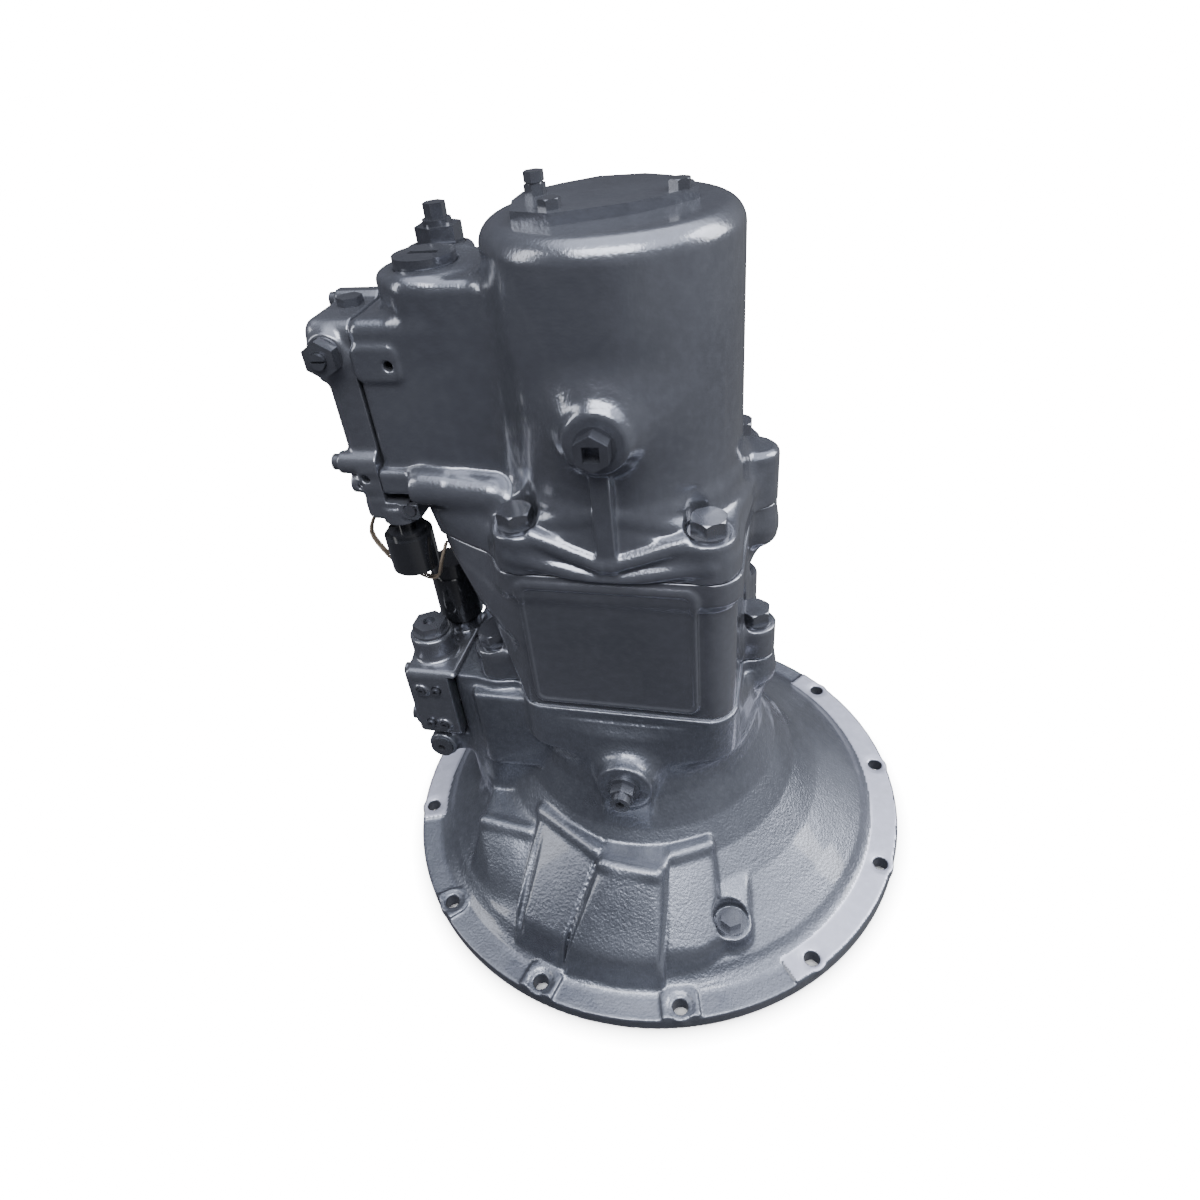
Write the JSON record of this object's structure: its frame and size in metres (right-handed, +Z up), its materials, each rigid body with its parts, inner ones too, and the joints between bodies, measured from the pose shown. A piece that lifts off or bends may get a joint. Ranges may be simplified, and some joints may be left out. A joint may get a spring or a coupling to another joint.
{
  "type": "tandem axial-piston hydraulic pump",
  "caption": "Upright tandem swash-plate hydraulic pump with a bell-housing flange, servo lobes, regulator and control blocks and a turning splined shaft.",
  "frame": {"origin": "centre of the bell-housing flange's mounting face, on the shaft axis", "axes": "+Z up along the shaft axis to the top cover, -Y the blank front pad, -X the servo, regulator and control block side"},
  "size_m": [0.4889, 0.489, 0.606],
  "materials": {
    "painted_casting": "glossy dark blue-grey enamel over sand-cast iron",
    "painted_hardware": "glossy enamel over steel fasteners",
    "machined_steel": "ground",
    "bronze": "machined bronze",
    "gasket": "fibre sheet",
    "rubber": "matte",
    "solenoid_shell": "gloss black",
    "wire": "satin sleeve"
  },
  "bodies": {
    "housing": {"front_case": "painted_casting", "centre_block": "painted_casting", "rear_case": "painted_casting", "front_gasket": "gasket", "rear_gasket": "gasket", "cover_plate": "painted_casting", "cover_bolts": "painted_hardware", "air_bleeder": "painted_hardware", "rear_case_bolts": "painted_hardware", "front_case_bolts": "painted_hardware", "upper_plug": "painted_hardware", "lower_plug": "painted_hardware", "case_plug": "painted_hardware", "rear_servo_cap": "painted_hardware", "servo_stop_nut": "painted_hardware", "servo_stop_bolt": "painted_hardware", "front_servo_cap": "painted_hardware", "regulator_body": "painted_casting", "regulator_bolts": "painted_hardware", "regulator_locknut": "painted_hardware", "regulator_plugs": "painted_hardware", "upper_solenoid": "solenoid_shell", "solenoid_wires": "wire", "lower_solenoid": "solenoid_shell", "control_block": "painted_casting", "control_bolts": "painted_hardware", "control_hex_plug": "painted_hardware", "control_plugs": "painted_hardware", "front_cradle": "bronze", "rear_cradle": "bronze", "front_valve_plate": "bronze", "rear_valve_plate": "bronze", "front_bearing": "machined_steel", "rear_bearing": "machined_steel", "shaft_seal": "rubber", "seal_retainer": "machined_steel"},
    "rotor": {"input_shaft": "machined_steel", "rear_shaft": "machined_steel", "shaft_coupling": "machined_steel", "impeller": "machined_steel", "front_barrel": "machined_steel", "rear_barrel": "machined_steel", "front_pistons": "machined_steel", "rear_pistons": "machined_steel", "front_shoes": "bronze", "rear_shoes": "bronze", "front_retainer": "machined_steel", "rear_retainer": "machined_steel", "front_spring": "machined_steel", "rear_spring": "machined_steel"},
    "front_swash_body": {"front_swash": "machined_steel"},
    "rear_swash_body": {"rear_swash": "machined_steel"},
    "front_servo_body": {"front_servo_piston": "machined_steel"},
    "rear_servo_body": {"rear_servo_piston": "machined_steel"},
    "adjusting_screw": {"regulator_screw": "painted_hardware"},
    "regulator_valve": {"regulator_spool": "machined_steel"},
    "control_valve": {"control_spool": "machined_steel"}
  },
  "joints": [
    {"name": "shaft_spin", "type": "hinge", "parent": "housing", "child": "rotor", "pos_m": [0, 0, 0], "axis": [0, 0, 1], "continuous": true},
    {"name": "front_swash_tilt", "type": "hinge", "parent": "housing", "child": "front_swash_body", "pos_m": [0, 0, 0.126], "axis": [0, 1, 0], "range_deg": [0, 17], "deforming": ["front_pistons", "front_shoes", "front_retainer"]},
    {"name": "front_servo_slide", "type": "slide", "parent": "housing", "child": "front_servo_body", "axis": [0, 0, 1], "range_m": [0, 0.03938]},
    {"name": "rear_swash_tilt", "type": "hinge", "parent": "housing", "child": "rear_swash_body", "pos_m": [0, 0, 0.477], "axis": [0, -1, 0], "range_deg": [0, 17], "deforming": ["rear_pistons", "rear_shoes", "rear_retainer"]},
    {"name": "rear_servo_slide", "type": "slide", "parent": "housing", "child": "rear_servo_body", "axis": [0, 0, -1], "range_m": [0, 0.03938]},
    {"name": "adjusting_screw_turn", "type": "hinge", "parent": "housing", "child": "adjusting_screw", "pos_m": [-0.208, -0.045, 0.498], "axis": [0, -1, 0], "range_deg": [-180, 180]},
    {"name": "regulator_spool_slide", "type": "slide", "parent": "housing", "child": "regulator_valve", "axis": [0, 0, 1], "range_m": [-0.004, 0.004]},
    {"name": "control_spool_slide", "type": "slide", "parent": "housing", "child": "control_valve", "axis": [0, 0, 1], "range_m": [-0.004, 0.004]}
  ],
  "couplings": [
    {"joint": "front_servo_slide", "follows": "front_swash_tilt", "m_per_rad": 0.13204},
    {"joint": "rear_servo_slide", "follows": "rear_swash_tilt", "m_per_rad": 0.13204}
  ]
}
